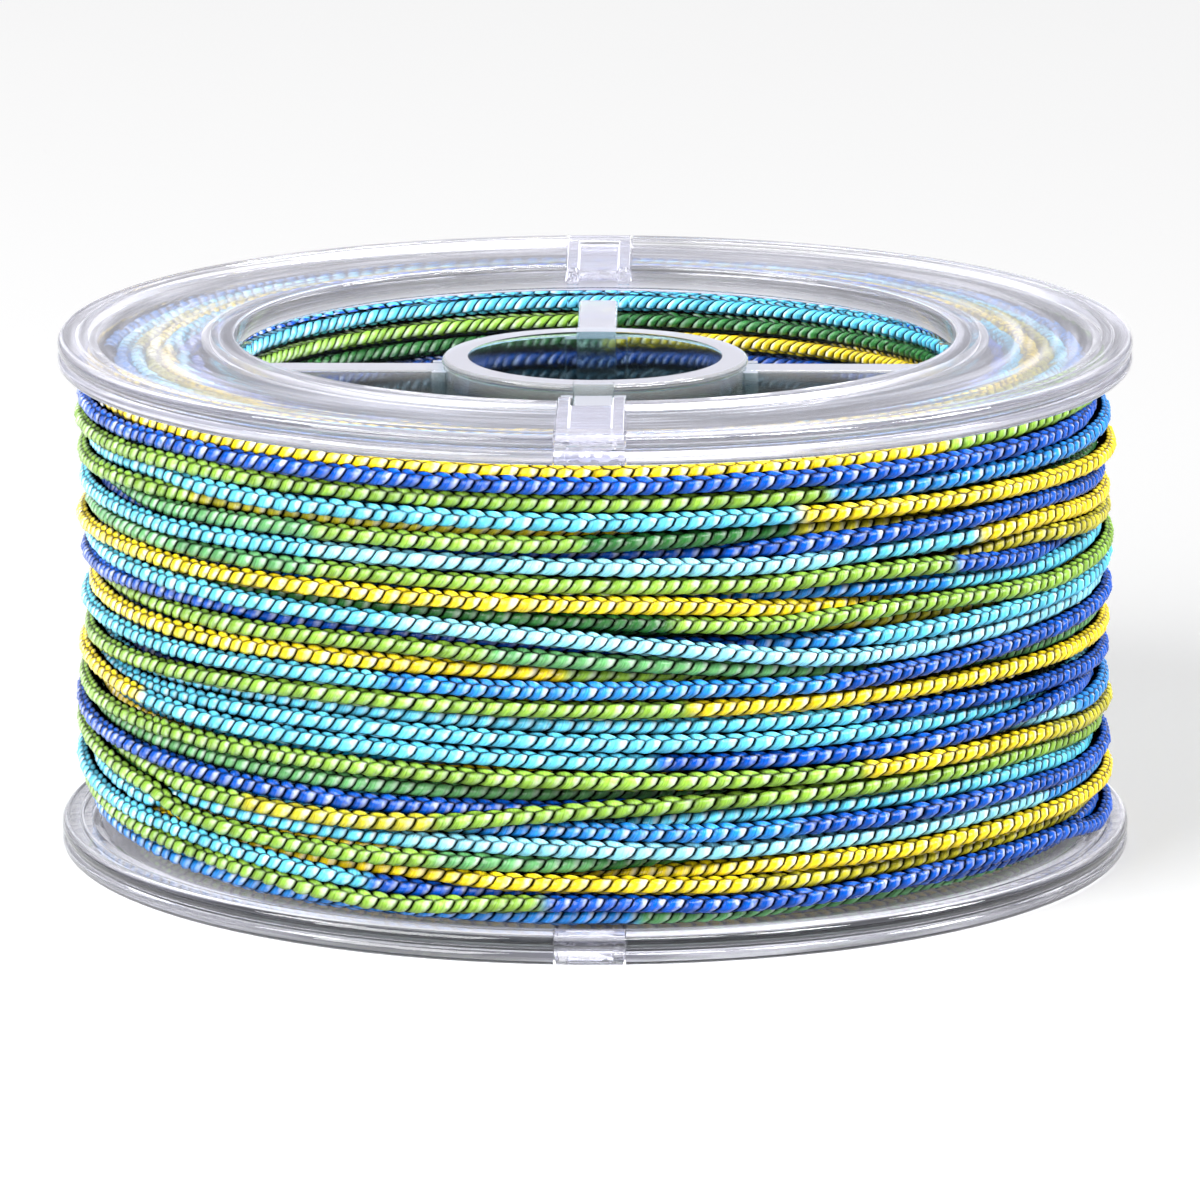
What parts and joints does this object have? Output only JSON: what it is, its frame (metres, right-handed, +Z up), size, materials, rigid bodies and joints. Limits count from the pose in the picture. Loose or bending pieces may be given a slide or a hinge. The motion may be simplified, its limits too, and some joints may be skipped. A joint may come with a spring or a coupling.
{
  "type": "fishing line spool",
  "caption": "Clear spool with flat open flanges, a hub on spokes and braided multi-colour line wound on its drum.",
  "frame": {"origin": "on the spool's axis, in the plane that the lower flange rests on", "axes": "+Z up along the spool's axis; -Y to the front, where one pair of lock keys is; +X to the right"},
  "size_m": [0.1, 0.1, 0.0484],
  "materials": {
    "clear_flange": "polished clear polystyrene",
    "clear_drum": "polished clear polystyrene",
    "clear_hub": "polished clear polystyrene",
    "clear_key": "polished clear polystyrene",
    "line_inner": "braided line, satin",
    "line_outer": "braided line, glossy"
  },
  "bodies": {
    "drum": {"lower_flange": "clear_flange", "drum_tube": "clear_drum", "line_core": "line_inner", "line_outer": "line_outer", "line_start_knot": "line_outer"},
    "top": {"upper_flange": "clear_flange"},
    "hub": {"hub_tube": "clear_hub", "spoke_front": "clear_hub", "spoke_back": "clear_hub", "spoke_left": "clear_hub", "spoke_right": "clear_hub"},
    "key_upper_front": {"upper_key_front": "clear_key"},
    "key_upper_back": {"upper_key_back": "clear_key"},
    "key_lower_front": {"lower_key_front": "clear_key"},
    "key_lower_back": {"lower_key_back": "clear_key"}
  },
  "joints": [
    {"name": "upper_flange_lift", "type": "slide", "parent": "drum", "child": "top", "axis": [0, 0, 1], "range_m": [0, 0.015]},
    {"name": "hub_lift", "type": "slide", "parent": "drum", "child": "hub", "axis": [0, 0, 1], "range_m": [0, 0.046]},
    {"name": "upper_front_key_pull", "type": "slide", "parent": "top", "child": "key_upper_front", "axis": [0, -1, 0], "range_m": [0, 0.019]},
    {"name": "upper_back_key_pull", "type": "slide", "parent": "top", "child": "key_upper_back", "axis": [0, 1, 0], "range_m": [0, 0.019]},
    {"name": "lower_front_key_pull", "type": "slide", "parent": "drum", "child": "key_lower_front", "axis": [0, -1, 0], "range_m": [0, 0.019]},
    {"name": "lower_back_key_pull", "type": "slide", "parent": "drum", "child": "key_lower_back", "axis": [0, 1, 0], "range_m": [0, 0.019]}
  ]
}
